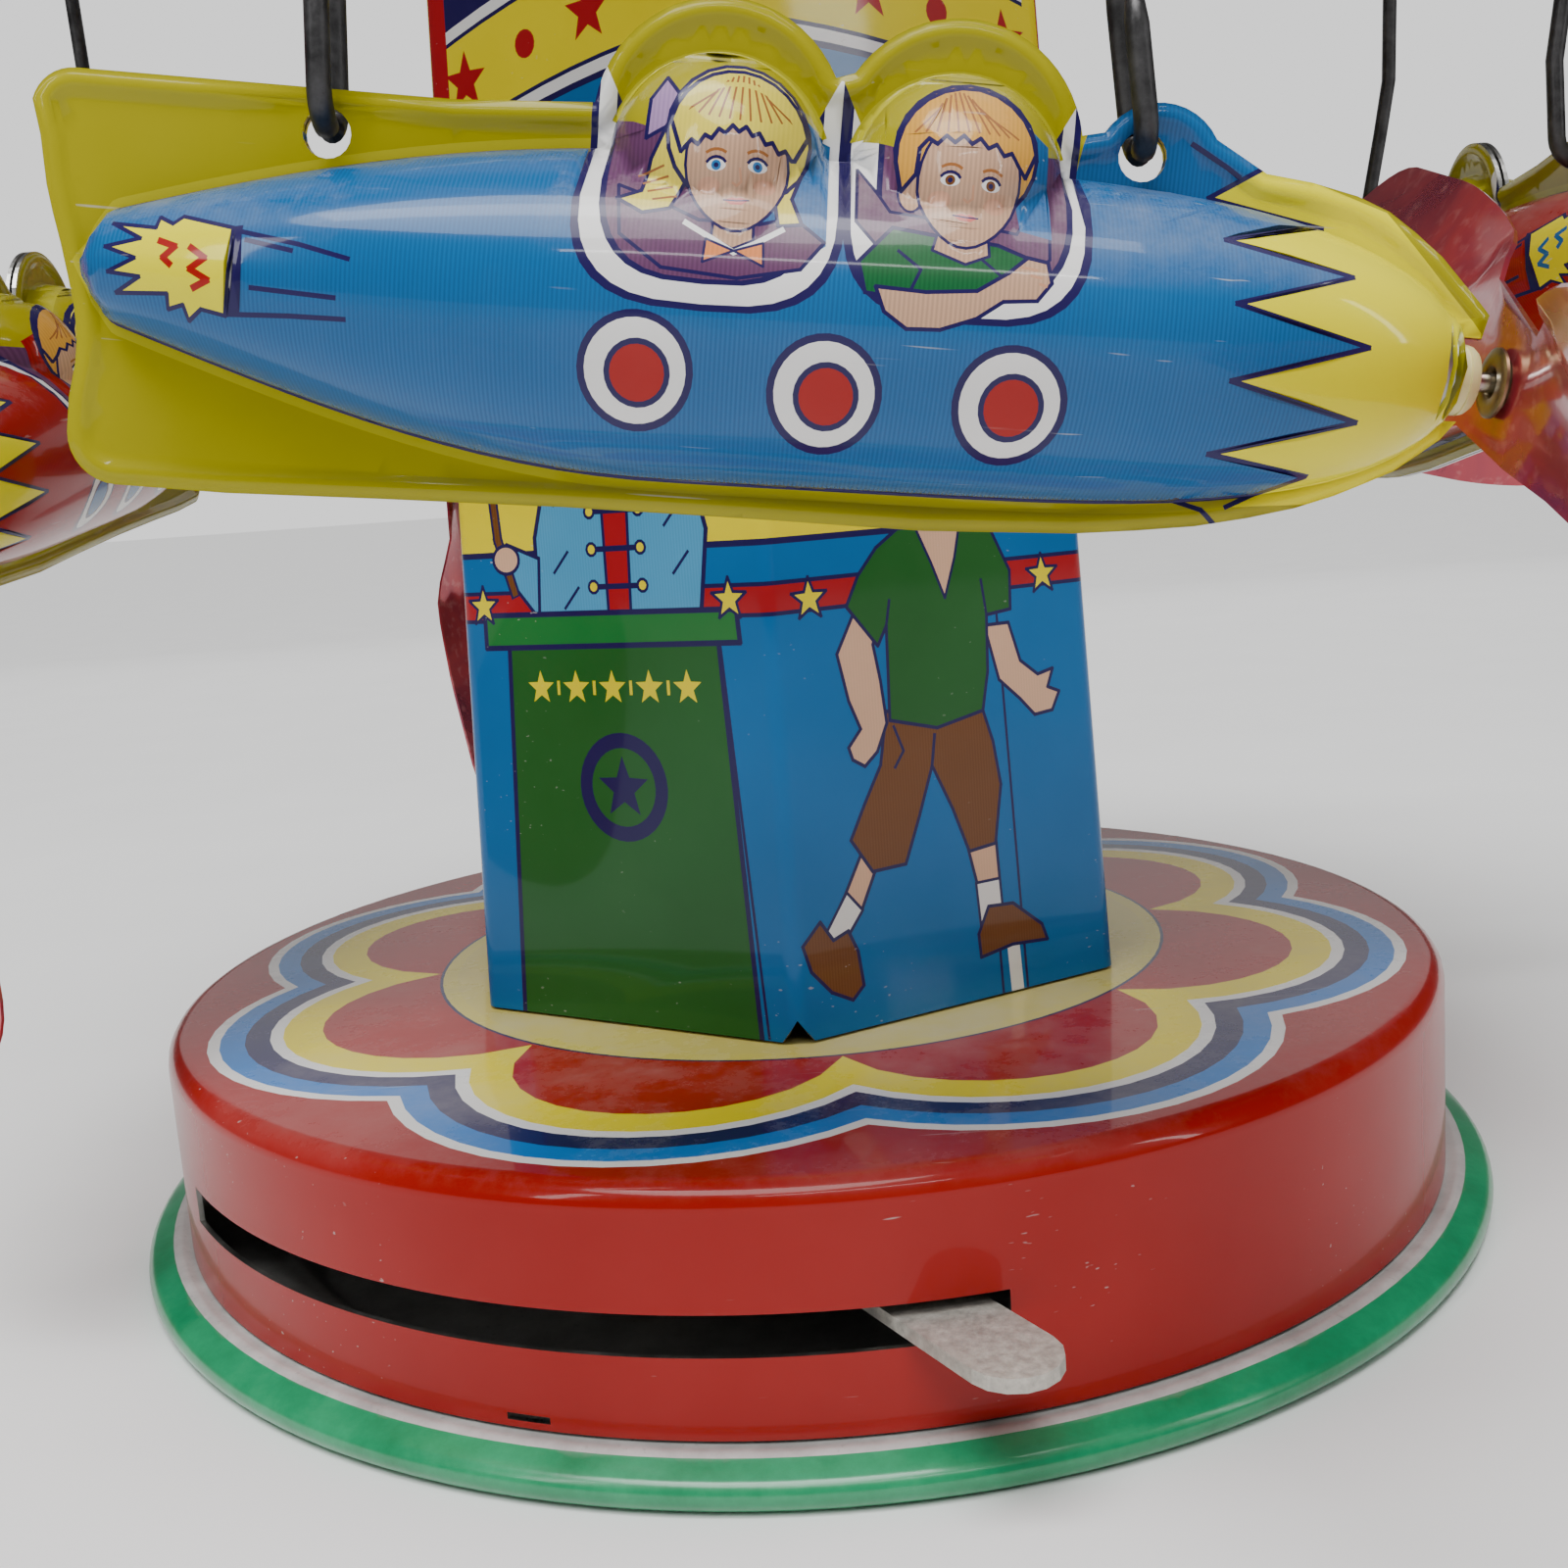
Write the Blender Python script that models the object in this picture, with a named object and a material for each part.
"""Tin rocket carousel: a lever-driven toy ride with four rockets hung from a spinning canopy.

Units are metres, +Z is up, and the origin is the centre of the underside of the base plate.
The lever's slot faces -Y.  Seen from above, the ride turns anticlockwise.
"""
import math

import bmesh
import bpy
from mathutils import Matrix, Vector
from mathutils.geometry import delaunay_2d_cdt

MM = 0.001
GAP = 0.3 * MM
SHEET = 0.5 * MM
ROUND = 48
SMALL_ROUND = 14

# Base drum and its bottom plate
BASE_RADIUS = 70.0 * MM
BASE_TOP_Z = 25.1 * MM
BASE_FOOT_Z = 3.9 * MM
SHOULDER = 2.2 * MM
BASE_HOLE_RADIUS = 12.0 * MM
RIM_BEAD_RADIUS = 1.5 * MM
RIM_OVERHANG = 4.7 * MM
CHANNEL_WIDTH = 9.0 * MM
CHANNEL_LEDGE = 0.8 * MM
PRESS_RADIUS = 0.3 * MM
BEAD_LIFT = 0.1 * MM
FOOT_DISC_MARGIN = 12.0 * MM

# Slot in the drum wall: its height, and its clearance past the lever at each end of the swing
SLOT_HEIGHT = 3.7 * MM
SLOT_END_GAP = 0.85 * MM

# Booth tower: a tapered six-sided tube
TOWER_FOOT_RADIUS = 38.1 * MM
TOWER_TAPER = 0.0408
TOWER_HEIGHT = 134.0 * MM
TOWER_TURN_DEG = -1.2
TOWER_CAP_SKIRT = 4.0 * MM
NOTCH_WIDTH = 3.6 * MM
NOTCH_HEIGHT = 2.2 * MM

# Central shaft and its bearings
SHAFT_RADIUS = 1.5 * MM
SHAFT_FOOT_Z = 1.4 * MM
BUSH_RUNNING_GAP = 0.3 * MM
BUSH_WALL = 2.0 * MM
BUSH_LENGTH = 4.0 * MM
BUSH_COLLAR = 1.5 * MM
BUSH_COLLAR_LENGTH = 1.0 * MM
COLLAR_DROP = 6.0 * MM
COLLAR_LENGTH = 4.0 * MM
COLLAR_WALL = 2.5 * MM
WASHER_WALL = 2.4 * MM
WASHER_THICKNESS = 0.7 * MM

# Lever, its toothed sector and the clutch pinion
TOOTH_MODULE = 1.0 * MM
SECTOR_TEETH = 43
PINION_TEETH = 16
TOOTH_ADDENDUM = 0.85
TOOTH_DEDENDUM = 1.25
TOOTH_THICKNESS = 1.12
TOOTH_FLANK_DEG = 20.0
LEVER_THICKNESS = 1.2 * MM
LEVER_Z = 12.75 * MM
LEVER_WIDTH = 7.7 * MM
LEVER_STICK_OUT = 11.6 * MM
LEVER_REST_DEG = 30.2
LEVER_SWING_DEG = 100.0
PIVOT_BEARING_DEG = -34.0
POST_RADIUS = 2.5 * MM
BOSS_RADIUS = 7.0 * MM
PINION_HEIGHT = 3.6 * MM
CLUTCH_PLATE = 0.8 * MM
RATCHET_TEETH = 12
RATCHET_RADIUS = 5.0 * MM
RATCHET_TOOTH = 0.9 * MM
RATCHET_THICKNESS = 1.0 * MM
PAWL_PIN_RADIUS = 0.7 * MM
PAWL_PIN_PLACE = 7.4 * MM
PAWL_WIDTH = 1.4 * MM
PAWL_EYE_WALL = 0.7 * MM
PAWL_REACH_DEG = 62.0
SPRING_RADIUS = 1.9 * MM
SPRING_PIN_PLACE = 16.0 * MM
SPRING_PIN_RADIUS = 0.9 * MM
SPRING_Z = 8.3 * MM
ANCHOR_X = 30.0 * MM
ANCHOR_Y = -38.0 * MM

# Mechanism top plate, which clears the ratchet below it, and the pillars that carry it
FRAME_THICKNESS = 0.8 * MM
FRAME_CLEARANCE = 1.15 * MM
FRAME_FOOT_Z = LEVER_Z + PINION_HEIGHT / 2.0 + CLUTCH_PLATE + GAP + RATCHET_THICKNESS + FRAME_CLEARANCE
FRAME_Z = FRAME_FOOT_Z + FRAME_THICKNESS / 2.0
PILLAR_RADIUS = 2.0 * MM
PILLARS = (("pillar_right", (28.0 * MM, 18.0 * MM)), ("pillar_rear", (-10.0 * MM, 30.0 * MM)),
           ("pillar_front", (26.0 * MM, -22.0 * MM)))
RIVET_NECK = 1.2 * MM
RIVET_HEAD = 2.2 * MM
RIVET_RISE = 1.0 * MM
FRAME_MARGIN = 5.0 * MM

# Canopy that carries the hanger wires
RIDE_RADIUS = 78.0 * MM
CANOPY_ABOVE_TOWER = 30.6 * MM
CANOPY_HOLE_Z = BASE_TOP_Z + GAP + TOWER_HEIGHT + CANOPY_ABOVE_TOWER
CANOPY_MARGIN = 6.2 * MM
CANOPY_FLAT = 15.0 * MM
CANOPY_RISE = 15.0 * MM
CANOPY_BEAD = 1.0 * MM
HUB_RADIUS = 8.0 * MM
HUB_NECK_RADIUS = 4.4 * MM
HUB_FLANGE = 3.0 * MM
HUB_CONE = 6.0 * MM
SHAFT_ABOVE_CANOPY = 6.0 * MM
WIRE_RADIUS = 0.8 * MM
WIRE_HOLE_RADIUS = WIRE_RADIUS + 1.1 * MM
WIRE_TOP_SPREAD = 19.0 * MM
WIRE_END_LENGTH = 4.0 * MM
WIRE_END_HEIGHT = WIRE_RADIUS + SHEET / 2.0 + 0.7 * MM
CANOPY_RADIUS = math.hypot(RIDE_RADIUS, WIRE_TOP_SPREAD) + CANOPY_MARGIN
HOOK_RADIUS = WIRE_RADIUS + 1.5 * MM
HOOK_TAIL = 7.0 * MM
HOOK_TWIST_RISE = 8.0 * MM
HOOK_LEAD = 14.0 * MM
WIRE_BEND = 1.0 * MM
FINIAL_FOOT_RADIUS = 4.0 * MM
FINIAL_FOOT = 1.5 * MM
FINIAL_NECK_RADIUS = 2.6 * MM
FINIAL_NECK = 1.0 * MM
FINIAL_BALL_RADIUS = 4.5 * MM
FINIAL_BALL_UP = 7.0 * MM
FINIAL_HEIGHT = 14.0 * MM

# Rockets: u runs along the rocket to its nose, w runs up, and depth is measured from the seam
ROCKET_Z = 88.0 * MM
ROCKET_PITCH_DEG = 8.5
ROCKET_SHEET = 0.4 * MM
SEAM_GAP = 0.3 * MM
FIN_TOP = 12.2 * MM
FIN_BOTTOM = -13.6 * MM
TAIL_U = -46.6 * MM
NOSE_U = 47.6 * MM
HULL_DEPTH = 10.5 * MM
HULL_TAIL_U = -43.3 * MM
HULL_NOSE_U = 46.2 * MM
RIDER_PLACES = ((-3.2 * MM, 11.6 * MM), (12.0 * MM, 11.5 * MM))
RIDER_HOOD_RADIUS = 8.1 * MM
RIDER_BULGE_RADIUS = 6.9 * MM
RIDER_BULGE_DEPTH = 8.0 * MM
RIDER_BULGE_DROP = 2.4 * MM
EAR_PLACE = (25.0 * MM, 11.4 * MM)
EAR_RADIUS = 4.2 * MM
TAIL_HOLE = (-28.1 * MM, 9.5 * MM)
NOSE_HOLE = (23.9 * MM, 12.2 * MM)
HANG_HOLE_RADIUS = WIRE_RADIUS + 0.65 * MM
HANG_OFFSET = 0.3 * MM
PLUG_RADIUS = 2.3 * MM
PLUG_NOTCH_HALF = PLUG_RADIUS + 0.4 * MM
PLUG_NOTCH_U = 45.2 * MM
PLUG_START_U = 45.6 * MM
PLUG_END_U = 47.2 * MM
PLUG_STEM = 4.0 * MM
PLUG_ROUNDING = 0.7 * MM
PLUG_TIP_RADIUS = 1.65 * MM
PIN_HIDDEN_START = 0.5 * MM
PIN_ROUNDING = 0.2 * MM
PIN_RADIUS = 0.65 * MM
PIN_BORE_GAP = 0.3 * MM
PLUG_STEM_RADIUS = PIN_RADIUS + PIN_BORE_GAP + 0.55 * MM
PIN_END_U = 51.2 * MM
PIN_HEAD_RADIUS = PIN_RADIUS + 0.6 * MM
PIN_HEAD_LENGTH = 0.6 * MM

# Propeller
PROP_U = 49.3 * MM
PROP_RADIUS = 52.0 * MM
PROP_CHORD = 25.0 * MM
PROP_ROOT_CHORD = 5.0 * MM
PROP_TWIST_DEG = 36.0
PROP_SHEET = 0.4 * MM
EYELET_PLAY = 0.35 * MM
EYELET_WALL = 0.55 * MM
EYELET_RADIUS = PIN_RADIUS + EYELET_PLAY + EYELET_WALL + GAP
EYELET_FLANGE = 0.45 * MM
EYELET_LIP = 0.35 * MM

# The four rockets: name, bearing about +Z from -Y, and the propeller's angle at rest
ROCKETS = (("front", 0.0, 105.0), ("right", 90.0, 90.0), ("rear", 180.0, 0.0), ("left", 270.0, 177.0))


def clear_scene():
    """Remove whatever the file holds."""
    for old in list(bpy.data.objects):
        bpy.data.objects.remove(old, do_unlink=True)


def material(name, colour, roughness, metallic):
    """A plain Principled material for one sub-part."""
    mat = bpy.data.materials.new(name)
    mat.use_nodes = True
    shader = mat.node_tree.nodes["Principled BSDF"]
    shader.inputs["Base Color"].default_value = (*colour, 1.0)
    shader.inputs["Roughness"].default_value = roughness
    shader.inputs["Metallic"].default_value = metallic
    mat.diffuse_color = (*colour, 1.0)
    return mat


def add_object(name, data, mat, smooth_deg=40.0):
    """Link mesh or curve data as a named object."""
    obj = bpy.data.objects.new(name, data)
    bpy.context.scene.collection.objects.link(obj)
    data.materials.append(mat)
    if isinstance(data, bpy.types.Mesh):
        data.shade_smooth()
        data.set_sharp_from_angle(angle=math.radians(smooth_deg))
    return obj


def mesh_from(name, points, faces):
    """A mesh with its normals made consistent and outward."""
    mesh = bpy.data.meshes.new(name)
    mesh.from_pydata([tuple(p) for p in points], [], faces)
    bm = bmesh.new()
    bm.from_mesh(mesh)
    bmesh.ops.recalc_face_normals(bm, faces=bm.faces)
    bm.to_mesh(mesh)
    bm.free()
    return mesh


def bearing(degrees, radius=1.0):
    """A point at an angle about +Z measured from -Y towards +X."""
    angle = math.radians(degrees)
    return Vector((radius * math.sin(angle), -radius * math.cos(angle), 0.0))


def arc(centre, radius, start_deg, end_deg, steps):
    """Points on an arc, both ends included."""
    points = []
    for i in range(steps + 1):
        angle = math.radians(start_deg + (end_deg - start_deg) * i / steps)
        points.append((centre[0] + radius * math.cos(angle), centre[1] + radius * math.sin(angle)))
    return points


def turned(name, profile, segments=ROUND, phase_deg=0.0):
    """A closed (radius, z) profile turned about +Z; a point on the axis may start and end it."""
    points = []
    rows = []
    for radius, z in profile:
        if radius < 1e-7:
            rows.append([len(points)] * segments)
            points.append((0.0, 0.0, z))
            continue
        row = []
        for i in range(segments):
            angle = math.radians(phase_deg) + math.tau * i / segments
            row.append(len(points))
            points.append((radius * math.cos(angle), radius * math.sin(angle), z))
        rows.append(row)
    faces = []
    count = len(rows)
    for k in range(count):
        low, high = rows[k], rows[(k + 1) % count]
        if low[0] == low[1] and high[0] == high[1]:
            continue
        for i in range(segments):
            j = (i + 1) % segments
            corners = [low[i], low[j], high[j], high[i]]
            faces.append(list(dict.fromkeys(corners)))
    return mesh_from(name, points, faces)


def plate(name, outline, z_low, z_high, holes=()):
    """A flat plate with holes, from outlines of (x, y) points."""
    points, triangles = filled(outline, holes, ())
    return thick_sheet(name, [(p[0], p[1], z_low) for p in points], triangles, z_high - z_low)


def inside(point, outline):
    """True where a point lies within a closed outline."""
    x, y = point
    hit = False
    for i, (x1, y1) in enumerate(outline):
        x0, y0 = outline[i - 1]
        if (y0 > y) != (y1 > y) and x < (x1 - x0) * (y - y0) / (y1 - y0) + x0:
            hit = not hit
    return hit


def filled(outline, holes, extra):
    """Triangles that fill an outline less its holes, using any extra points."""
    points = [Vector(p) for p in outline]
    edges = [(i, (i + 1) % len(outline)) for i in range(len(outline))]
    for hole in holes:
        first = len(points)
        points += [Vector(p) for p in hole]
        edges += [(first + i, first + (i + 1) % len(hole)) for i in range(len(hole))]
    points += [Vector(p) for p in extra]
    verts, _, faces, *_ = delaunay_2d_cdt(points, edges, [], 0, 1e-7)
    kept = []
    for face in faces:
        middle = sum((verts[i] for i in face), Vector((0.0, 0.0))) / 3.0
        if inside(middle, outline) and not any(inside(middle, hole) for hole in holes):
            kept.append(tuple(face))
    return verts, kept


def thick_sheet(name, points, triangles, thickness):
    """A sheet given thickness along +Z, closed round its edges."""
    used = sorted({i for tri in triangles for i in tri})
    place = {old: new for new, old in enumerate(used)}
    low = [Vector(points[i]) for i in used]
    high = [p + Vector((0.0, 0.0, thickness)) for p in low]
    count = len(used)
    faces = []
    borders = {}
    for tri in triangles:
        a, b, c = (place[i] for i in tri)
        faces.append((a, c, b))
        faces.append((a + count, b + count, c + count))
        for pair in ((a, b), (b, c), (c, a)):
            if pair[::-1] in borders:
                del borders[pair[::-1]]
            else:
                borders[pair] = True
    for a, b in borders:
        faces.append((a, b, b + count, a + count))
    return mesh_from(name, low + high, faces)


def cut(obj, cutter_mesh, name):
    """Cut a shape out of an object with an exact Boolean."""
    cutter = bpy.data.objects.new(name, cutter_mesh)
    bpy.context.scene.collection.objects.link(cutter)
    cutter.hide_render = True
    cutter.display_type = "WIRE"
    modifier = obj.modifiers.new(name, "BOOLEAN")
    modifier.operation = "DIFFERENCE"
    modifier.solver = "EXACT"
    modifier.object = cutter
    return cutter


def block_mesh(name, corners_low, corners_high):
    """A closed block between two rings of matching corners."""
    count = len(corners_low)
    points = list(corners_low) + list(corners_high)
    faces = [tuple(range(count)), tuple(range(count, 2 * count))]
    for i in range(count):
        j = (i + 1) % count
        faces.append((i, j, count + j, count + i))
    return mesh_from(name, points, faces)


def joined(name, meshes):
    """Several separate bodies in one mesh."""
    bm = bmesh.new()
    for mesh in meshes:
        bm.from_mesh(mesh)
    result = bpy.data.meshes.new(name)
    bm.to_mesh(result)
    bm.free()
    return result


def moved(mesh, matrix):
    """A mesh after a rigid move."""
    mesh.transform(matrix)
    return mesh


def ring_profile(inner, outer, z_low, z_high):
    """A square-edged ring."""
    return [(inner, z_low), (outer, z_low), (outer, z_high), (inner, z_high)]


# ---- Base ----

def base_cover():
    """Pressed drum: wall, rounded shoulder and top, with the lever's slot cut in the wall."""
    outer = [(BASE_RADIUS, BASE_FOOT_Z)]
    centre = (BASE_RADIUS - SHOULDER, BASE_TOP_Z - SHOULDER)
    outer += arc(centre, SHOULDER, 0.0, 90.0, 3)
    outer.append((BASE_HOLE_RADIUS, BASE_TOP_Z))
    inner = [(BASE_HOLE_RADIUS, BASE_TOP_Z - SHEET)]
    inner += arc(centre, SHOULDER - SHEET, 90.0, 0.0, 2)
    inner.append((BASE_RADIUS - SHEET, BASE_FOOT_Z))
    mesh = turned("base_cover", outer + inner, segments=54)
    cover = add_object("base_cover", mesh, material("base_red", (0.62, 0.05, 0.035), 0.28, 0.0), 30.0)
    left = lever_crossing(LEVER_REST_DEG - LEVER_SWING_DEG, -1.0)
    right = lever_crossing(LEVER_REST_DEG, 1.0)
    low = []
    high = []
    for radius in (BASE_RADIUS - 4.0 * SHEET, BASE_RADIUS + 4.0 * SHEET):
        steps = 12
        order = range(steps + 1)
        if radius > BASE_RADIUS:
            order = range(steps, -1, -1)
        for i in order:
            angle = left + (right - left) * i / steps
            point = bearing(angle, radius)
            low.append(point + Vector((0.0, 0.0, LEVER_Z - SLOT_HEIGHT / 2.0)))
            high.append(point + Vector((0.0, 0.0, LEVER_Z + SLOT_HEIGHT / 2.0)))
    cut(cover, block_mesh("lever_slot", low, high), "lever_slot")


def base_plate():
    """Bottom plate: flat foot disc, raised channel under the wall and a rolled rim."""
    foot = BASE_RADIUS - FOOT_DISC_MARGIN
    channel_in = BASE_RADIUS - CHANNEL_WIDTH
    channel_out = BASE_RADIUS + CHANNEL_LEDGE
    channel_z = BASE_FOOT_Z - GAP
    rim = BASE_RADIUS + RIM_OVERHANG - RIM_BEAD_RADIUS
    top = [(0.0, SHEET), (foot, SHEET), (channel_in, channel_z), (channel_out, channel_z)]
    bead = arc((rim, RIM_BEAD_RADIUS + BEAD_LIFT), RIM_BEAD_RADIUS, 110.0, -110.0, 5)
    under = [(channel_out - PRESS_RADIUS, channel_z - SHEET), (channel_in + PRESS_RADIUS, channel_z - SHEET)]
    under += [(foot + PRESS_RADIUS, 0.0), (0.0, 0.0)]
    mesh = turned("base_plate", top + bead + under, segments=ROUND)
    add_object("base_plate", mesh, material("rim_green", (0.02, 0.30, 0.14), 0.35, 0.0), 30.0)


# ---- Tower ----

def tower_radius(z):
    """Corner radius of the tower at a height."""
    return TOWER_FOOT_RADIUS - TOWER_TAPER * (z - BASE_TOP_Z)


def tower_z():
    """Foot and top of the tower's walls."""
    foot = BASE_TOP_Z + GAP
    return foot, foot + TOWER_HEIGHT


def tower():
    """Tapered six-sided booth tube with a relief notch at its front corner."""
    foot, top = tower_z()
    wall = SHEET / math.cos(math.radians(30.0))
    profile = [(tower_radius(foot) - wall, foot), (tower_radius(foot), foot)]
    profile += [(tower_radius(top), top), (tower_radius(top) - wall, top)]
    mesh = turned("tower", profile, segments=6, phase_deg=TOWER_TURN_DEG - 90.0)
    obj = add_object("tower", mesh, material("tower_blue", (0.02, 0.22, 0.48), 0.22, 0.0), 20.0)
    turn = Matrix.Rotation(math.radians(TOWER_TURN_DEG), 4, "Z")
    half = NOTCH_WIDTH / 2.0
    near = tower_radius(foot) + 2.0 * MM
    far = tower_radius(foot) - 5.0 * MM
    low_z = foot - 1.0 * MM
    corners = ((-half, low_z), (half, low_z), (half, foot), (0.0, foot + NOTCH_HEIGHT), (-half, foot))
    front = [turn @ Vector((x, -near, z)) for x, z in corners]
    back = [turn @ Vector((x, -far, z)) for x, z in corners]
    cut(obj, block_mesh("corner_notch", front, back), "corner_notch")


def tower_cap():
    """Six-sided lid over the tower, with a hole for the top bush."""
    top = tower_z()[1]
    radius = tower_radius(top)
    skirt = TOWER_CAP_SKIRT
    clear = GAP + SHEET
    hole = (SHAFT_RADIUS + BUSH_RUNNING_GAP + BUSH_WALL + GAP) / math.cos(math.radians(30.0))
    lid = top + GAP
    profile = [(hole, lid), (radius + GAP, lid), (radius + GAP, top - skirt)]
    profile += [(radius + clear, top - skirt), (radius + clear, lid + SHEET), (hole, lid + SHEET)]
    mesh = turned("tower_cap", profile, segments=6, phase_deg=TOWER_TURN_DEG - 90.0)
    add_object("tower_cap", mesh, material("cap_red", (0.55, 0.04, 0.03), 0.3, 0.0), 20.0)


def bush(name, z_low):
    """Brass bearing bush with a collar, round the shaft."""
    bore = SHAFT_RADIUS + BUSH_RUNNING_GAP
    outer = bore + BUSH_WALL
    collar = outer + BUSH_COLLAR
    z_high = z_low + BUSH_LENGTH
    seat = z_high - BUSH_COLLAR_LENGTH
    profile = [(bore, z_low), (outer, z_low), (outer, seat), (collar, seat), (collar, z_high), (bore, z_high)]
    mesh = turned(name, profile, segments=SMALL_ROUND)
    return add_object(name, mesh, material(name + "_brass", (0.62, 0.45, 0.16), 0.35, 1.0))


def shaft():
    """Steel drive shaft from the bottom bush to the finial."""
    top = CANOPY_HOLE_Z + CANOPY_RISE + SHAFT_ABOVE_CANOPY
    tip = SHAFT_RADIUS * 0.5
    profile = [(0.0, SHAFT_FOOT_Z), (tip, SHAFT_FOOT_Z), (SHAFT_RADIUS, SHAFT_FOOT_Z + tip)]
    profile += [(SHAFT_RADIUS, top), (0.0, top)]
    mesh = turned("shaft", profile, segments=SMALL_ROUND)
    add_object("shaft", mesh, material("shaft_steel", (0.55, 0.55, 0.56), 0.3, 1.0))


# ---- Lever mechanism ----

def pivot_place():
    """Centre of the lever's post, set by the gear pair's centre distance."""
    distance = TOOTH_MODULE * (SECTOR_TEETH + PINION_TEETH) / 2.0
    return bearing(PIVOT_BEARING_DEG, distance)


def lever_to_wall(angle):
    """Distance from the lever's pivot to the drum's wall along a bearing."""
    pivot = pivot_place()
    nearest = -pivot.dot(bearing(angle))
    return nearest + math.sqrt(nearest ** 2 - pivot.length_squared + BASE_RADIUS ** 2)


def lever_crossing(angle, side):
    """Bearing of the slot's end where the lever passes the wall at an angle; side is +1 towards +X."""
    point = pivot_place() + bearing(angle, lever_to_wall(angle))
    middle = math.degrees(math.atan2(point.x, -point.y))
    half = LEVER_WIDTH / 2.0 / math.cos(math.radians(angle - middle)) + SLOT_END_GAP
    return middle + side * math.degrees(half / BASE_RADIUS)


def tooth_points(teeth, index, phase):
    """Four corners of one gear tooth as (x, y), about the gear's own centre."""
    pitch_radius = TOOTH_MODULE * teeth / 2.0
    root = pitch_radius - TOOTH_DEDENDUM * TOOTH_MODULE
    tip = pitch_radius + TOOTH_ADDENDUM * TOOTH_MODULE
    slope = math.tan(math.radians(TOOTH_FLANK_DEG))
    half = TOOTH_THICKNESS * TOOTH_MODULE / 2.0
    middle = phase + math.tau * index / teeth
    points = []
    for side, radius in ((-1, root), (-1, tip), (1, tip), (1, root)):
        width = half - (radius - pitch_radius) * slope
        angle = middle + side * width / radius
        points.append((radius * math.cos(angle), radius * math.sin(angle)))
    return points


def lever_plate():
    """Stamped lever: rounded thumb end, arm, pivot boss and toothed sector in one plate."""
    pivot = pivot_place()
    to_axis = math.atan2(-pivot.y, -pivot.x)
    arm = math.radians(LEVER_REST_DEG - 90.0)
    pitch_step = math.tau / SECTOR_TEETH
    first = -2
    last = math.ceil(math.radians(LEVER_SWING_DEG) / pitch_step) + 2
    outline = []
    for index in range(first, last + 1):
        outline += tooth_points(SECTOR_TEETH, index, to_axis)
    sector_end = to_axis + pitch_step * (last + 0.5)
    boss_start = math.degrees(sector_end) + 10.0
    boss_end = math.degrees(arm) + 360.0 - 36.0
    outline += arc((0.0, 0.0), BOSS_RADIUS, boss_start, boss_end, 8)
    half = LEVER_WIDTH / 2.0
    along = Vector((math.cos(arm), math.sin(arm)))
    across = Vector((-math.sin(arm), math.cos(arm)))
    reach = lever_to_wall(LEVER_REST_DEG) + LEVER_STICK_OUT
    tip_centre = along * (reach - half)
    sides = [-across * half + along * BOSS_RADIUS]
    for i in range(9):
        angle = -math.pi / 2.0 + math.pi * i / 8.0
        sides.append(tip_centre + along * (half * math.cos(angle)) + across * (half * math.sin(angle)))
    sides.append(across * half + along * BOSS_RADIUS * 1.6)
    outline += [tuple(p) for p in sides]
    shifted = [(x + pivot.x, y + pivot.y) for x, y in outline]
    hole = arc(pivot, POST_RADIUS + BUSH_RUNNING_GAP, 0.0, 337.5, 15)
    spring_hole = arc(spring_pin_place(), SPRING_PIN_RADIUS + GAP, 0.0, 330.0, 11)
    z_low = LEVER_Z - LEVER_THICKNESS / 2.0
    mesh = plate("lever_plate", shifted, z_low, z_low + LEVER_THICKNESS, (hole, spring_hole))
    add_object("lever_plate", mesh, material("lever_steel", (0.36, 0.36, 0.34), 0.5, 0.9), 30.0)


def spring_pin_place():
    """Where the return spring's pin sits on the lever at rest."""
    return pivot_place() + bearing(LEVER_REST_DEG, SPRING_PIN_PLACE)


def lever_spring_pin():
    """Headed pin through the lever that the return spring hooks on."""
    below = LEVER_Z - LEVER_THICKNESS / 2.0 - GAP
    above = LEVER_Z + LEVER_THICKNESS / 2.0 + GAP
    head = SPRING_PIN_RADIUS + 0.8 * MM
    low = SPRING_Z + SPRING_RADIUS + GAP
    profile = [(0.0, low), (SPRING_PIN_RADIUS, low), (SPRING_PIN_RADIUS, below - 0.4 * MM)]
    profile += [(head, below - 0.4 * MM), (head, below), (SPRING_PIN_RADIUS, below)]
    profile += [(SPRING_PIN_RADIUS, above), (head, above), (head, above + 0.4 * MM), (0.0, above + 0.4 * MM)]
    mesh = turned("lever_spring_pin", profile, segments=12)
    obj = add_object("lever_spring_pin", mesh, material("pin_steel", (0.5, 0.5, 0.5), 0.35, 1.0))
    place = spring_pin_place()
    obj.location = (place.x, place.y, 0.0)


def riveted_post(name, place, radius):
    """Post from the base plate whose neck passes through the mechanism plate to a rivet head."""
    shoulder = FRAME_Z - FRAME_THICKNESS / 2.0 - GAP
    head = FRAME_Z + FRAME_THICKNESS / 2.0 + GAP
    profile = [(0.0, SHEET + GAP), (radius, SHEET + GAP), (radius, shoulder), (RIVET_NECK, shoulder)]
    profile += [(RIVET_NECK, head), (RIVET_HEAD, head), (RIVET_HEAD * 0.8, head + RIVET_RISE * 0.65)]
    profile.append((0.0, head + RIVET_RISE))
    obj = add_object(name, turned(name, profile, segments=SMALL_ROUND),
                     material(name + "_steel", (0.5, 0.5, 0.5), 0.35, 1.0))
    obj.location = (place[0], place[1], 0.0)


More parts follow.
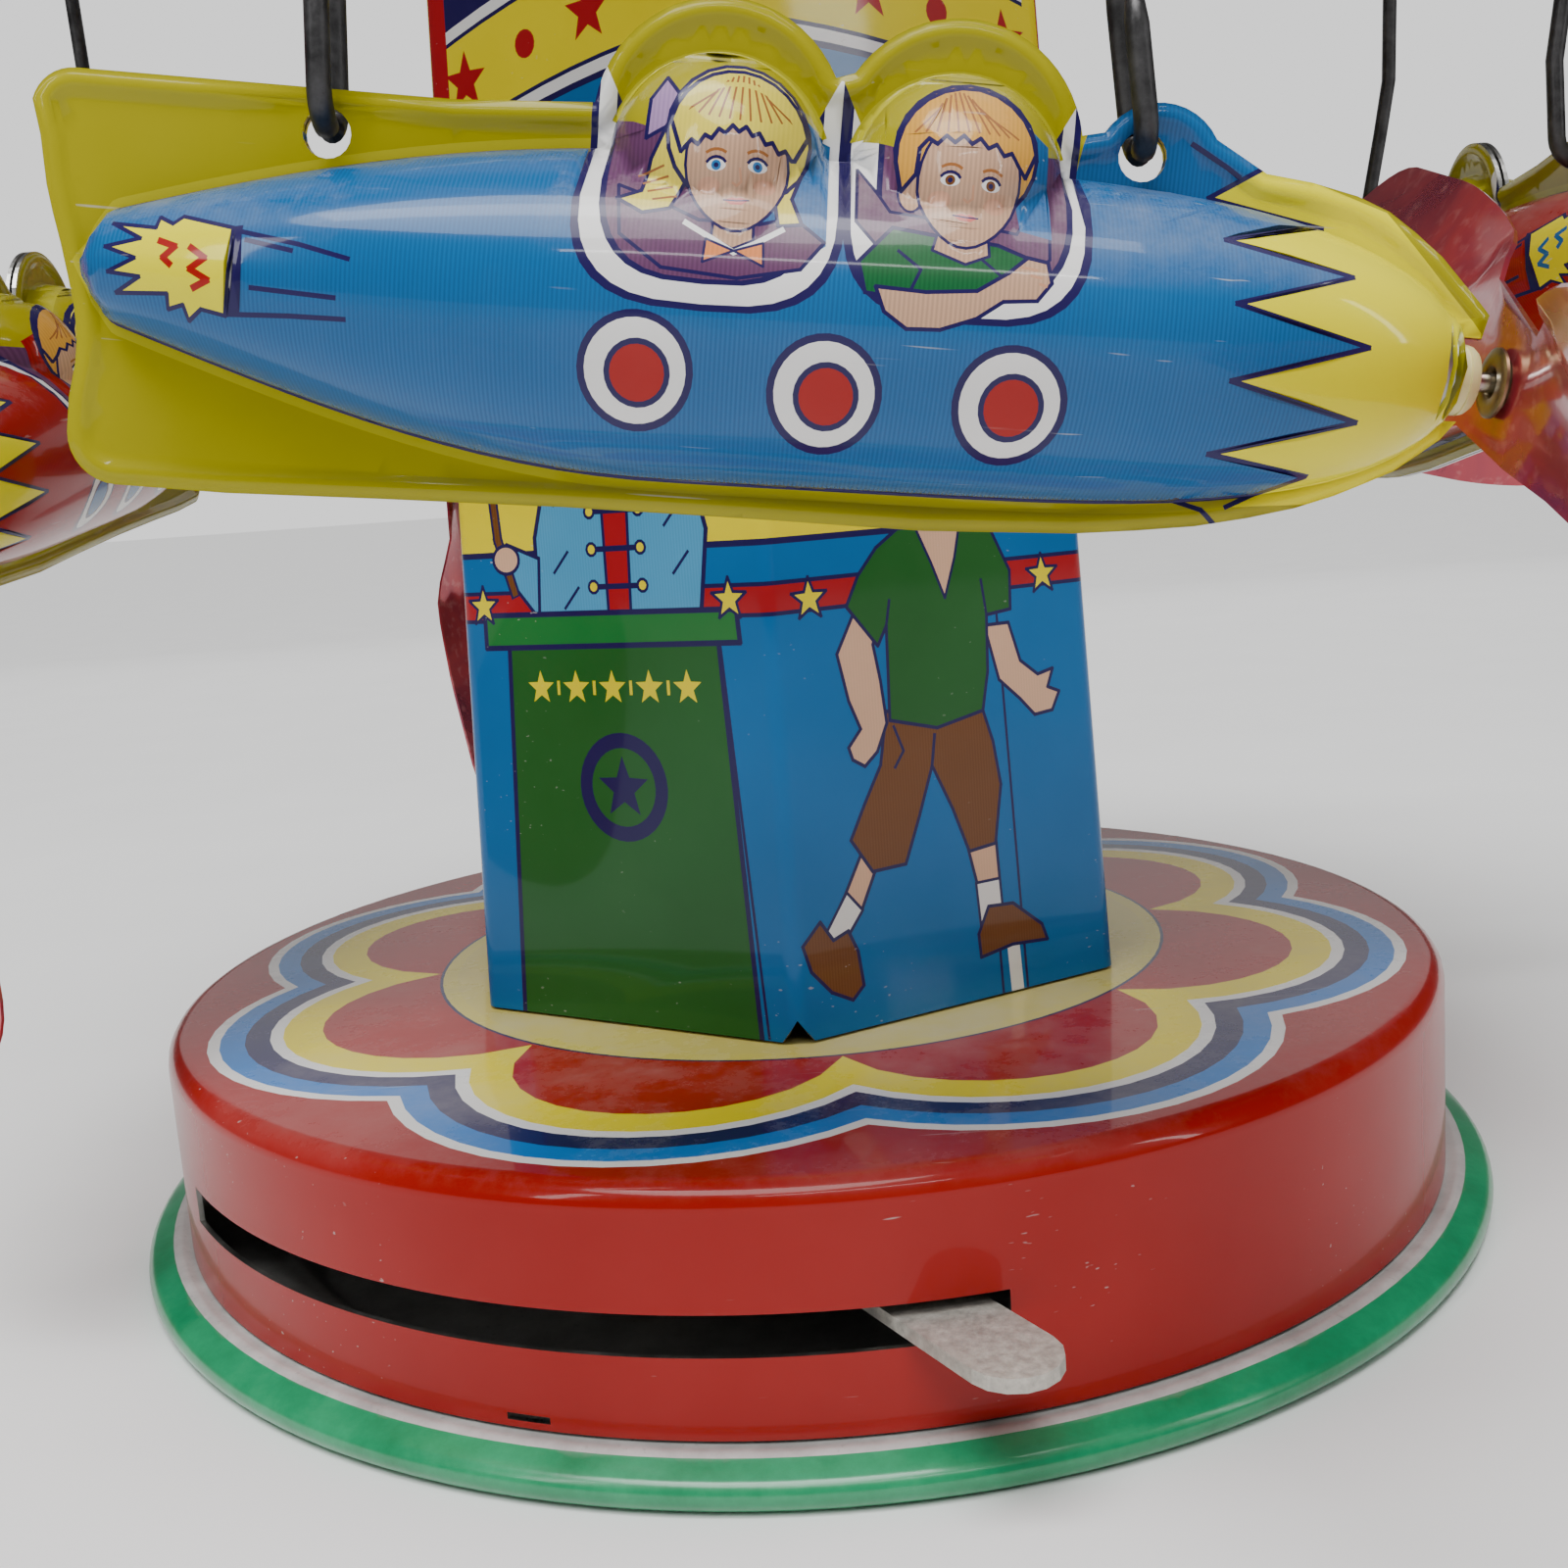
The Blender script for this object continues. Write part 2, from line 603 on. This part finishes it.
def lever_spacer(name, z_low, z_high):
    """Spacer ring that holds the lever at its height on the post."""
    bore = POST_RADIUS + GAP
    mesh = turned(name, ring_profile(bore, bore + 1.2 * MM, z_low, z_high), SMALL_ROUND)
    obj = add_object(name, mesh, material(name + "_brass", (0.62, 0.45, 0.16), 0.4, 1.0))
    place = pivot_place()
    obj.location = (place.x, place.y, 0.0)


def posts_and_spacers():
    """The lever's post with its two spacers, and the three pillars of the mechanism plate."""
    riveted_post("lever_post", pivot_place(), POST_RADIUS)
    half = LEVER_THICKNESS / 2.0 + GAP
    lever_spacer("lever_spacer_low", SHEET + GAP, LEVER_Z - half)
    lever_spacer("lever_spacer_high", LEVER_Z + half, FRAME_Z - FRAME_THICKNESS / 2.0 - GAP)
    for name, place in PILLARS:
        riveted_post(name, place, PILLAR_RADIUS)


def return_spring():
    """Outer envelope of the extension spring that brings the lever back."""
    start = spring_pin_place()
    end = Vector((ANCHOR_X, ANCHOR_Y, 0.0))
    along = (end - start).normalized()
    start = start + along * 2.0 * MM
    length = (end - start).length - 2.5 * MM
    profile = [(0.0, 0.0), (SPRING_RADIUS, 0.0), (SPRING_RADIUS, length), (0.0, length)]
    mesh = turned("return_spring", profile, segments=12)
    obj = add_object("return_spring", mesh, material("spring_steel", (0.45, 0.45, 0.45), 0.35, 1.0))
    obj.rotation_mode = "QUATERNION"
    obj.rotation_quaternion = along.to_track_quat("Z", "Y")
    obj.location = (start.x, start.y, SPRING_Z)


def spring_anchor():
    """Headed post on the base plate that holds the fixed end of the spring."""
    low = SHEET + GAP
    neck = 1.0 * MM
    top = SPRING_Z + SPRING_RADIUS
    profile = [(0.0, low), (2.0 * MM, low), (2.0 * MM, low + 1.0 * MM), (neck, low + 1.0 * MM)]
    profile += [(neck, top), (2.0 * MM, top), (2.0 * MM, top + 0.8 * MM), (0.0, top + 0.8 * MM)]
    mesh = turned("spring_anchor", profile, segments=12)
    obj = add_object("spring_anchor", mesh, material("anchor_steel", (0.5, 0.5, 0.5), 0.35, 1.0))
    obj.location = (ANCHOR_X, ANCHOR_Y, 0.0)


def pinion_z():
    """Low face, top of the teeth and top of the clutch plate."""
    low = LEVER_Z - PINION_HEIGHT / 2.0
    return low, low + PINION_HEIGHT, low + PINION_HEIGHT + CLUTCH_PLATE


def clutch_pinion():
    """Pinion loose on the shaft, with a plate on top that carries the pawl."""
    low, high, plate_top = pinion_z()
    pivot = pivot_place()
    to_pivot = math.atan2(pivot.y, pivot.x)
    phase = to_pivot + math.pi / PINION_TEETH
    outline = []
    for index in range(PINION_TEETH):
        outline += tooth_points(PINION_TEETH, index, phase)
    bore = arc((0.0, 0.0), SHAFT_RADIUS + BUSH_RUNNING_GAP, 0.0, 330.0, 11)
    toothed = add_object("clutch_pinion", plate("clutch_pinion", outline, low, high, (bore,)),
                         material("pinion_nylon", (0.75, 0.72, 0.62), 0.45, 0.0), 30.0)
    rim = TOOTH_MODULE * PINION_TEETH / 2.0 + TOOTH_ADDENDUM * TOOTH_MODULE + 0.4 * MM
    ring = turned("clutch_plate", ring_profile(SHAFT_RADIUS + BUSH_RUNNING_GAP, rim,
                                               high - 0.2 * MM, plate_top), 32)
    carrier = bpy.data.objects.new("clutch_plate_shape", ring)
    bpy.context.scene.collection.objects.link(carrier)
    carrier.hide_render = True
    carrier.display_type = "WIRE"
    union = toothed.modifiers.new("clutch_plate", "BOOLEAN")
    union.operation = "UNION"
    union.solver = "EXACT"
    union.object = carrier


def ratchet_wheel():
    """Saw-toothed wheel fixed to the shaft above the pinion, with a hub."""
    low = pinion_z()[2] + GAP
    outline = []
    for index in range(RATCHET_TEETH):
        start = math.tau * index / RATCHET_TEETH
        end = start + math.tau / RATCHET_TEETH
        root = RATCHET_RADIUS - RATCHET_TOOTH
        outline.append((root * math.cos(start), root * math.sin(start)))
        outline.append((RATCHET_RADIUS * math.cos(end - 0.06), RATCHET_RADIUS * math.sin(end - 0.06)))
    bore = arc((0.0, 0.0), SHAFT_RADIUS + GAP, 0.0, 330.0, 11)
    mesh = plate("ratchet_wheel", outline, low, low + RATCHET_THICKNESS, (bore,))
    add_object("ratchet_wheel", mesh, material("ratchet_steel", (0.5, 0.5, 0.5), 0.35, 1.0), 30.0)


def pawl_pin():
    """Small pin on the clutch plate that the pawl turns on."""
    top = pinion_z()[2]
    low = top + GAP
    high = low + RATCHET_THICKNESS
    profile = [(0.0, low), (PAWL_PIN_RADIUS, low), (PAWL_PIN_RADIUS, high), (0.0, high)]
    obj = add_object("pawl_pin", turned("pawl_pin", profile, segments=12),
                     material("pawl_pin_steel", (0.5, 0.5, 0.5), 0.35, 1.0))
    obj.location = (PAWL_PIN_PLACE, 0.0, 0.0)


def pawl():
    """Click that rides on the ratchet's tooth tips: a curved arm round the wheel from its eye."""
    low = pinion_z()[2] + GAP
    eye = PAWL_PIN_RADIUS + GAP + PAWL_EYE_WALL
    inner = RATCHET_RADIUS + GAP
    outer = inner + PAWL_WIDTH
    outline = arc((0.0, 0.0), outer, 14.0, PAWL_REACH_DEG, 6)
    outline += arc((0.0, 0.0), inner, PAWL_REACH_DEG, 17.0, 6)
    outline += arc((PAWL_PIN_PLACE, 0.0), eye, 150.0, 440.0, 12)
    bore = arc((PAWL_PIN_PLACE, 0.0), PAWL_PIN_RADIUS + GAP, 0.0, 330.0, 11)
    mesh = plate("pawl", outline, low, low + RATCHET_THICKNESS, (bore,))
    obj = add_object("pawl", mesh, material("pawl_steel", (0.5, 0.5, 0.5), 0.35, 1.0), 30.0)
    mesh.transform(Matrix.Translation((-PAWL_PIN_PLACE, 0.0, 0.0)))
    obj.location = (PAWL_PIN_PLACE, 0.0, 0.0)


def hull_outline(centres, radius):
    """Rounded outline round a convex set of post centres, anticlockwise."""
    points = []
    count = len(centres)
    for i, centre in enumerate(centres):
        before, after = centres[i - 1], centres[(i + 1) % count]
        start = math.degrees(math.atan2(centre[1] - before[1], centre[0] - before[0])) - 90.0
        end = math.degrees(math.atan2(after[1] - centre[1], after[0] - centre[0])) - 90.0
        if end < start:
            end += 360.0
        points += arc(centre, radius, start, end, 4)
    return points


def mechanism_plate():
    """Top plate of the mechanism, on the pillars and the lever's post."""
    pivot = pivot_place()
    places = [place for _, place in PILLARS]
    centres = [places[0], places[1], (pivot.x, pivot.y), places[2]]
    outline = hull_outline(centres, FRAME_MARGIN)
    holes = [arc((0.0, 0.0), SHAFT_RADIUS + BUSH_RUNNING_GAP, 0.0, 330.0, 11)]
    holes += [arc(centre, RIVET_NECK + GAP, 0.0, 330.0, 11) for centre in centres]
    mesh = plate("mechanism_plate", outline, FRAME_Z - FRAME_THICKNESS / 2.0,
                 FRAME_Z + FRAME_THICKNESS / 2.0, holes)
    add_object("mechanism_plate", mesh, material("plate_tin", (0.6, 0.6, 0.6), 0.4, 1.0), 30.0)


def shaft_collar():
    """Set collar on the shaft that stops it lifting out of the tower."""
    top = tower_z()[1]
    high = top - COLLAR_DROP
    bore = SHAFT_RADIUS + GAP
    profile = ring_profile(bore, bore + COLLAR_WALL, high - COLLAR_LENGTH, high)
    mesh = turned("shaft_collar", profile, SMALL_ROUND)
    add_object("shaft_collar", mesh, material("collar_steel", (0.5, 0.5, 0.5), 0.35, 1.0))


# ---- Canopy ----

def canopy_hub():
    """Turned boss fixed on the shaft that the canopy is riveted to."""
    low = top_bush_z() + BUSH_LENGTH + WASHER_THICKNESS + 3.0 * GAP
    high = CANOPY_HOLE_Z + CANOPY_RISE - SHEET / 2.0 - GAP
    bore = SHAFT_RADIUS + GAP
    cone = high - HUB_FLANGE
    profile = [(bore, low), (HUB_NECK_RADIUS, low), (HUB_NECK_RADIUS, cone - HUB_CONE), (HUB_RADIUS, cone)]
    profile += [(HUB_RADIUS, high), (bore, high)]
    mesh = turned("canopy_hub", profile, segments=24)
    add_object("canopy_hub", mesh, material("hub_steel", (0.55, 0.55, 0.55), 0.35, 1.0))


def top_bush_z():
    """Low end of the top bush, whose collar rests on the tower cap."""
    lid_top = tower_z()[1] + GAP + SHEET
    return lid_top + GAP - (BUSH_LENGTH - BUSH_COLLAR_LENGTH)


def thrust_washer():
    """Washer between the top bush and the canopy hub."""
    low = top_bush_z() + BUSH_LENGTH + GAP
    bore = SHAFT_RADIUS + GAP
    profile = ring_profile(bore, bore + WASHER_WALL, low, low + WASHER_THICKNESS)
    mesh = turned("thrust_washer", profile, SMALL_ROUND)
    add_object("thrust_washer", mesh, material("washer_steel", (0.5, 0.5, 0.5), 0.3, 1.0))


def wire_top_places():
    """Centres of the eight holes in the canopy's flat margin."""
    places = []
    for _, angle, _ in ROCKETS:
        outward = bearing(angle)
        forward = bearing(angle + 90.0)
        for side in (-1.0, 1.0):
            places.append(outward * RIDE_RADIUS + forward * WIRE_TOP_SPREAD * side)
    return places


def canopy():
    """Shallow pressed cone with a flat margin, a rolled edge and eight wire holes."""
    z = CANOPY_HOLE_Z
    half = SHEET / 2.0
    flat_in = CANOPY_RADIUS - CANOPY_FLAT
    crown = HUB_RADIUS + 1.0 * MM
    bore = SHAFT_RADIUS + GAP
    edge = CANOPY_RADIUS - CANOPY_BEAD
    top = [(bore, z + CANOPY_RISE + half), (crown, z + CANOPY_RISE + half)]
    under = [(flat_in, z - half)]
    slope = 3
    for i in range(1, slope):
        t = i / slope
        radius = crown + (flat_in - crown) * t
        lift = CANOPY_RISE * (0.5 + 0.5 * math.cos(math.pi * t)) ** 0.85
        top.append((radius, z + lift + half))
        under.append((radius, z + lift - half))
    top.append((flat_in, z + half))
    middle = under[1:]
    lower = [(crown, z + CANOPY_RISE - half), (bore, z + CANOPY_RISE - half)]
    bead = arc((edge, z), CANOPY_BEAD, 150.0, -150.0, 4)
    profile = top + bead + [under[0]] + middle[::-1] + lower
    mesh = turned("canopy", profile, segments=40)
    obj = add_object("canopy", mesh, material("canopy_yellow", (0.80, 0.62, 0.06), 0.3, 0.0), 30.0)
    drill = [(0.0, z - 3.0 * MM), (WIRE_HOLE_RADIUS, z - 3.0 * MM), (WIRE_HOLE_RADIUS, z + 3.0 * MM)]
    drill.append((0.0, z + 3.0 * MM))
    drills = []
    for place in wire_top_places():
        drills.append(moved(turned("drill", drill, segments=10), Matrix.Translation(place)))
    cut(obj, joined("wire_holes", drills), "wire_holes")


def finial():
    """Turned knob on top of the shaft, with a blind bore."""
    low = CANOPY_HOLE_Z + CANOPY_RISE + SHEET / 2.0 + GAP
    shaft_top = CANOPY_HOLE_Z + CANOPY_RISE + SHAFT_ABOVE_CANOPY + GAP
    bore = SHAFT_RADIUS + GAP
    foot = low + FINIAL_FOOT
    profile = [(bore, low), (FINIAL_FOOT_RADIUS, low), (FINIAL_FOOT_RADIUS, foot)]
    profile.append((FINIAL_NECK_RADIUS, foot + FINIAL_NECK))
    profile += arc((0.0, low + FINIAL_BALL_UP), FINIAL_BALL_RADIUS, -50.0, 70.0, 5)
    profile += [(0.0, low + FINIAL_HEIGHT), (0.0, shaft_top), (bore, shaft_top)]
    mesh = turned("finial", profile, segments=16)
    add_object("finial", mesh, material("finial_red", (0.55, 0.03, 0.03), 0.25, 0.0))


# ---- Rockets ----

def fin_outline():
    """Outline of the pressed flange: fins, rider hoods, hanging ear, nose and plug notch."""
    points = [(TAIL_U + 0.4 * MM, 8.0 * MM)]
    points += arc((TAIL_U + 2.6 * MM, FIN_TOP - 2.8 * MM), 2.8 * MM, 165.0, 90.0, 3)
    points += [(-37.0 * MM, FIN_TOP), (-29.0 * MM, FIN_TOP), (-20.0 * MM, FIN_TOP)]
    for (u, w), start, end in ((RIDER_PLACES[0], 172.0, 28.0), (RIDER_PLACES[1], 148.0, 12.0)):
        points += arc((u, w), RIDER_HOOD_RADIUS, start, end, 7)
    points += arc(EAR_PLACE, EAR_RADIUS, 150.0, 32.0, 5)
    points += [(32.0 * MM, 11.8 * MM), (38.0 * MM, 10.9 * MM), (42.0 * MM, 9.0 * MM)]
    points += [(45.6 * MM, 6.1 * MM), (NOSE_U, 4.2 * MM), (NOSE_U - 0.3 * MM, PLUG_NOTCH_HALF)]
    points += [(PLUG_NOTCH_U, PLUG_NOTCH_HALF * share) for share in (1.0, 0.7, 0.35, 0.0, -0.35, -0.7, -1.0)]
    points += [(46.4 * MM, -PLUG_NOTCH_HALF), (44.2 * MM, -5.0 * MM), (41.0 * MM, -7.1 * MM)]
    points += [(36.5 * MM, -9.1 * MM), (30.0 * MM, -10.8 * MM), (22.0 * MM, -11.9 * MM)]
    points += [(12.0 * MM, -12.5 * MM), (0.0, -12.6 * MM), (-12.0 * MM, -12.8 * MM)]
    points += [(-24.0 * MM, -13.2 * MM), (-34.0 * MM, FIN_BOTTOM)]
    points += arc((TAIL_U + 5.4 * MM, FIN_BOTTOM + 3.2 * MM), 3.2 * MM, 270.0, 180.0, 3)
    points += [(TAIL_U + 2.7 * MM, -6.0 * MM), (TAIL_U + 2.6 * MM, -2.5 * MM)]
    points += [(TAIL_U + 1.7 * MM, 1.5 * MM), (TAIL_U + 0.8 * MM, 5.0 * MM)]
    return points


def hull_half_height(u):
    """Half height of the pressed hull, blunt at the tail and rounded at the nose."""
    along = (u - HULL_TAIL_U) / (HULL_NOSE_U - HULL_TAIL_U)
    if along <= 0.0 or along >= 1.0:
        return 0.0
    tail = 2.9 + 7.4 * math.sin(min(along / 0.42, 1.0) * math.pi / 2.0)
    nose = 10.3 * (1.0 - max((along - 0.55) / 0.45, 0.0) ** 3.3) ** 0.48
    blunt_tail = min(1.0, (along / 0.02) ** 0.5)
    return min(tail, nose) * blunt_tail * MM


def hull_centre(u):
    """Height of the hull's middle line, a little lower behind than at the nose."""
    return (0.3 - 0.6 * math.exp(-((u / MM + 12.0) / 22.0) ** 2)) * MM


def press_depth(u, w):
    """How far the sheet stands off the seam plane, from the hull and the two riders."""
    half = hull_half_height(u)
    depth = 0.0
    if half > 0.0:
        across = min(abs(w - hull_centre(u)) / half, 1.0)
        swell = min(1.0, half / (10.3 * MM)) ** 0.85
        depth = HULL_DEPTH * swell * (1.0 - across ** 2.2) ** 0.62
    for place_u, place_w in RIDER_PLACES:
        away = math.hypot(u - place_u, w - (place_w - RIDER_BULGE_DROP)) / RIDER_BULGE_RADIUS
        if away < 1.0:
            depth = max(depth, RIDER_BULGE_DEPTH * (1.0 - away ** 2.5) ** 0.55)
    return depth


def shell_mesh(name, side):
    """One pressed half: side is +1 for the half that faces out, -1 for the half that faces in."""
    outline = fin_outline()
    holes = [arc(place, HANG_HOLE_RADIUS, 0.0, 315.0, 7) for place in (TAIL_HOLE, NOSE_HOLE)]
    extra = []
    stations = 13
    margin = 1.6 * MM
    for i in range(stations):
        u = HULL_TAIL_U + 0.8 * MM + (HULL_NOSE_U - HULL_TAIL_U - 2.6 * MM) * i / (stations - 1)
        half = hull_half_height(u)
        for share in (-1.0, -0.8, -0.3, 0.3, 0.8, 1.0):
            extra.append((u, hull_centre(u) + half * share))
    for u, w in RIDER_PLACES:
        centre = (u, w - RIDER_BULGE_DROP)
        extra.append(centre)
        extra += arc(centre, RIDER_BULGE_RADIUS, 10.0, 170.0, 5)
        extra += arc(centre, RIDER_BULGE_RADIUS * 0.7, 10.0, 170.0, 3)
    free = []
    for point in extra:
        near_edge = min(math.dist(point, p) for p in outline)
        near_hole = min(math.dist(point, p) for p in (TAIL_HOLE, NOSE_HOLE))
        crowded = any(math.dist(point, p) < 1.8 * MM for p in free)
        if inside(point, outline) and near_edge > margin and near_hole > margin * 1.6 and not crowded:
            free.append(point)
    verts, triangles = filled(outline, holes, free)
    lifted = [(v[0], v[1], SEAM_GAP / 2.0 + press_depth(v[0], v[1])) for v in verts]
    mesh = thick_sheet(name, lifted, triangles, ROCKET_SHEET)
    if side > 0:
        to_rocket = Matrix(((1, 0, 0, 0), (0, 0, -1, 0), (0, 1, 0, 0), (0, 0, 0, 1)))
    else:
        to_rocket = Matrix(((1, 0, 0, 0), (0, 0, 1, 0), (0, 1, 0, 0), (0, 0, 0, 1)))
        mesh.flip_normals()
    mesh.transform(to_rocket)
    return mesh


def along_u(mesh):
    """Turn a mesh made about +Z so that its axis runs along the rocket."""
    return moved(mesh, Matrix.Rotation(math.radians(90.0), 4, "Y"))


def plug_mesh():
    """Nose plug: rounded head in the notch and a stem inside the hull, bored for the pin."""
    bore = PIN_RADIUS + PIN_BORE_GAP
    stem_start = PLUG_START_U - PLUG_STEM
    profile = [(bore, stem_start), (PLUG_STEM_RADIUS, stem_start), (PLUG_STEM_RADIUS, PLUG_START_U)]
    profile += [(PLUG_RADIUS, PLUG_START_U), (PLUG_RADIUS, PLUG_END_U - PLUG_ROUNDING)]
    profile += [(PLUG_TIP_RADIUS, PLUG_END_U), (bore, PLUG_END_U)]
    return along_u(turned("nose_plug", profile, segments=10))


def pin_mesh():
    """Headed pin that the propeller spins on."""
    start = PLUG_START_U - PLUG_STEM + PIN_HIDDEN_START
    head = PIN_END_U - PIN_HEAD_LENGTH
    profile = [(0.0, start), (PIN_RADIUS, start), (PIN_RADIUS, head), (PIN_HEAD_RADIUS, head)]
    profile += [(PIN_HEAD_RADIUS, PIN_END_U - PIN_ROUNDING), (PIN_HEAD_RADIUS * 0.6, PIN_END_U)]
    profile.append((0.0, PIN_END_U))
    return along_u(turned("prop_pin", profile, segments=8))


def prop_chord(reach):
    """Blade width at a share of the propeller's radius."""
    paddle = math.sin(math.pi * min(max((reach - 0.06) / 0.94, 0.0), 1.0) ** 1.25)
    return PROP_ROOT_CHORD + (PROP_CHORD - PROP_ROOT_CHORD) * max(paddle, 0.0) ** 0.62


def prop_twist(reach):
    """Blade angle from the plane of rotation at a share of the radius."""
    return math.radians(PROP_TWIST_DEG) * min(max((reach - 0.05) / 0.25, 0.0), 1.0)


def propeller_mesh():
    """Two-bladed propeller bent from one sheet, with a hole for its eyelet."""
    outline = []
    steps = 11
    for sign in (1.0, -1.0):
        for side in (-1.0, 1.0):
            for i in range(steps):
                share = i / (steps - 1) if side < 0 else 1.0 - i / (steps - 1)
                reach = 0.09 + 0.90 * share
                if side > 0 and i == 0:
                    outline.append((sign * PROP_RADIUS, 0.0))
                taper = math.sqrt(max(1.0 - max((reach - 0.80) / 0.195, 0.0) ** 2, 0.0))
                half = prop_chord(min(reach, 0.62)) / 2.0 * taper
                outline.append((sign * reach * PROP_RADIUS, sign * side * half))
    extra = []
    for sign in (1.0, -1.0):
        for i in range(1, 7):
            extra.append((sign * PROP_RADIUS * (0.12 + 0.125 * i), 0.0))
    hole = arc((0.0, 0.0), EYELET_RADIUS, 0.0, 330.0, 11)
    verts, triangles = filled(outline, (hole,), extra)
    bent = []
    for v in verts:
        reach = abs(v[0]) / PROP_RADIUS
        angle = prop_twist(reach) * (1.0 if v[0] > 0.0 else -1.0)
        lift = v[1] * math.sin(angle)
        bent.append((v[0], v[1] * math.cos(angle), lift - PROP_SHEET / 2.0))
    mesh = thick_sheet("propeller", bent, triangles, PROP_SHEET)
    return along_u(mesh)


def eyelet_mesh():
    """Flanged brass eyelet pressed through the propeller's hole."""
    bore = EYELET_RADIUS - GAP - EYELET_WALL
    barrel = EYELET_RADIUS - GAP
    flange = EYELET_RADIUS + EYELET_FLANGE
    inner = PROP_SHEET / 2.0 + GAP
    outer = inner + EYELET_LIP
    profile = [(bore, -outer), (flange, -outer), (flange, -inner), (barrel, -inner)]
    profile += [(barrel, inner), (flange, inner), (flange, outer), (bore, outer)]
    return along_u(turned("eyelet", profile, segments=10))


def rocket_frame(angle):
    """Matrix from a rocket's (u, depth, w) to the toy: +X is its nose and -Y faces out."""
    spin = Matrix.Rotation(math.radians(angle), 4, "Z")
    place = Matrix.Translation((0.0, -RIDE_RADIUS, ROCKET_Z))
    pitch = Matrix.Rotation(math.radians(ROCKET_PITCH_DEG), 4, "Y")
    return spin @ place @ pitch


def hang_point(hole):
    """Centre of a hook's bow, a little above the middle of its hole, in the rocket's frame."""
    return Vector((hole[0], 0.0, hole[1] + HANG_OFFSET))


def wire_path(hole, side):
    """Route of one hanger wire in the front rocket's place: hook, straight run and bent end."""
    frame = rocket_frame(0.0)
    bow = frame @ hang_point(hole)
    top = Vector((WIRE_TOP_SPREAD * side, -RIDE_RADIUS, CANOPY_HOLE_Z))
    up = Vector((top.x - bow.x, 0.0, top.z - bow.z)).normalized()
    out = Vector((0.0, -1.0, 0.0))
    centre = bow + up * HOOK_RADIUS
    points = [centre + out * HOOK_RADIUS + up * HOOK_TAIL]
    for i in range(7):
        angle = math.pi * i / 6.0
        points.append(centre + out * HOOK_RADIUS * math.cos(angle) - up * HOOK_RADIUS * math.sin(angle))
    start = centre - out * HOOK_RADIUS + up * HOOK_TAIL
    points.append(start)
    points.append(start + up * HOOK_TWIST_RISE + out * HOOK_RADIUS * 0.6)
    points.append(bow + up * (HOOK_TAIL + HOOK_RADIUS + HOOK_LEAD))
    crown = top.z + WIRE_END_HEIGHT
    points.append(top + Vector((0.0, 0.0, WIRE_END_HEIGHT - WIRE_BEND)))
    points.append(Vector((top.x - side * WIRE_BEND * 0.35, top.y, crown - WIRE_BEND * 0.3)))
    points.append(Vector((top.x - side * WIRE_BEND, top.y, crown)))
    points.append(Vector((top.x - side * WIRE_END_LENGTH, top.y, crown)))
    return points


def wire(name, points, turn, mat):
    """A round wire along its route."""
    curve = bpy.data.curves.new(name, "CURVE")
    curve.dimensions = "3D"
    curve.bevel_depth = WIRE_RADIUS
    curve.bevel_resolution = 1
    curve.use_fill_caps = True
    spline = curve.splines.new("POLY")
    spline.points.add(len(points) - 1)
    for target, point in zip(spline.points, points):
        target.co = (*(turn @ point), 1.0)
    return add_object(name, curve, mat)


def rocket(name, angle, prop_angle):
    """One rocket with its propeller and its two hanger wires."""
    frame = rocket_frame(angle)
    guide = bpy.data.objects.new("rocket_" + name + "_hang_line", None)
    bpy.context.scene.collection.objects.link(guide)
    guide.matrix_world = frame
    hull = material("hull_" + name, (0.03, 0.19, 0.42) if name in ("front", "rear") else (0.5, 0.04, 0.04),
                    0.25, 0.0)
    plug = material("plug_" + name, (0.78, 0.74, 0.35), 0.4, 0.0)
    steel = material("pin_" + name, (0.6, 0.6, 0.58), 0.3, 1.0)
    red = material("prop_" + name, (0.55, 0.08, 0.09), 0.25, 0.0)
    brass = material("eyelet_" + name, (0.35, 0.31, 0.2), 0.4, 1.0)
    black = material("wire_" + name, (0.03, 0.03, 0.03), 0.45, 0.8)
    spin = Matrix.Rotation(math.radians(prop_angle), 4, "X")
    hub = Matrix.Translation((PROP_U, 0.0, 0.0)) @ spin
    pieces = (("_outer_shell", shell_mesh("outer_shell", 1), hull, Matrix.Identity(4)),
              ("_inner_shell", shell_mesh("inner_shell", -1), hull, Matrix.Identity(4)),
              ("_nose_plug", plug_mesh(), plug, Matrix.Identity(4)),
              ("_prop_pin", pin_mesh(), steel, Matrix.Identity(4)),
              ("_propeller", propeller_mesh(), red, hub),
              ("_eyelet", eyelet_mesh(), brass, hub))
    for suffix, mesh, mat, local in pieces:
        obj = add_object("rocket_" + name + suffix, mesh, mat, 35.0)
        obj.parent = guide
        obj.matrix_local = local
    turn = Matrix.Rotation(math.radians(angle), 4, "Z")
    wire("rocket_" + name + "_wire_tail", wire_path(TAIL_HOLE, -1.0), turn, black)
    wire("rocket_" + name + "_wire_nose", wire_path(NOSE_HOLE, 1.0), turn, black)


def build():
    """Build the whole toy."""
    clear_scene()
    base_cover()
    base_plate()
    tower()
    tower_cap()
    bush("top_bush", top_bush_z())
    bush("bottom_bush", SHEET + GAP)
    shaft()
    lever_plate()
    lever_spring_pin()
    posts_and_spacers()
    return_spring()
    spring_anchor()
    clutch_pinion()
    ratchet_wheel()
    pawl_pin()
    pawl()
    mechanism_plate()
    shaft_collar()
    canopy_hub()
    thrust_washer()
    canopy()
    finial()
    for name, angle, prop_angle in ROCKETS:
        rocket(name, angle, prop_angle)


build()
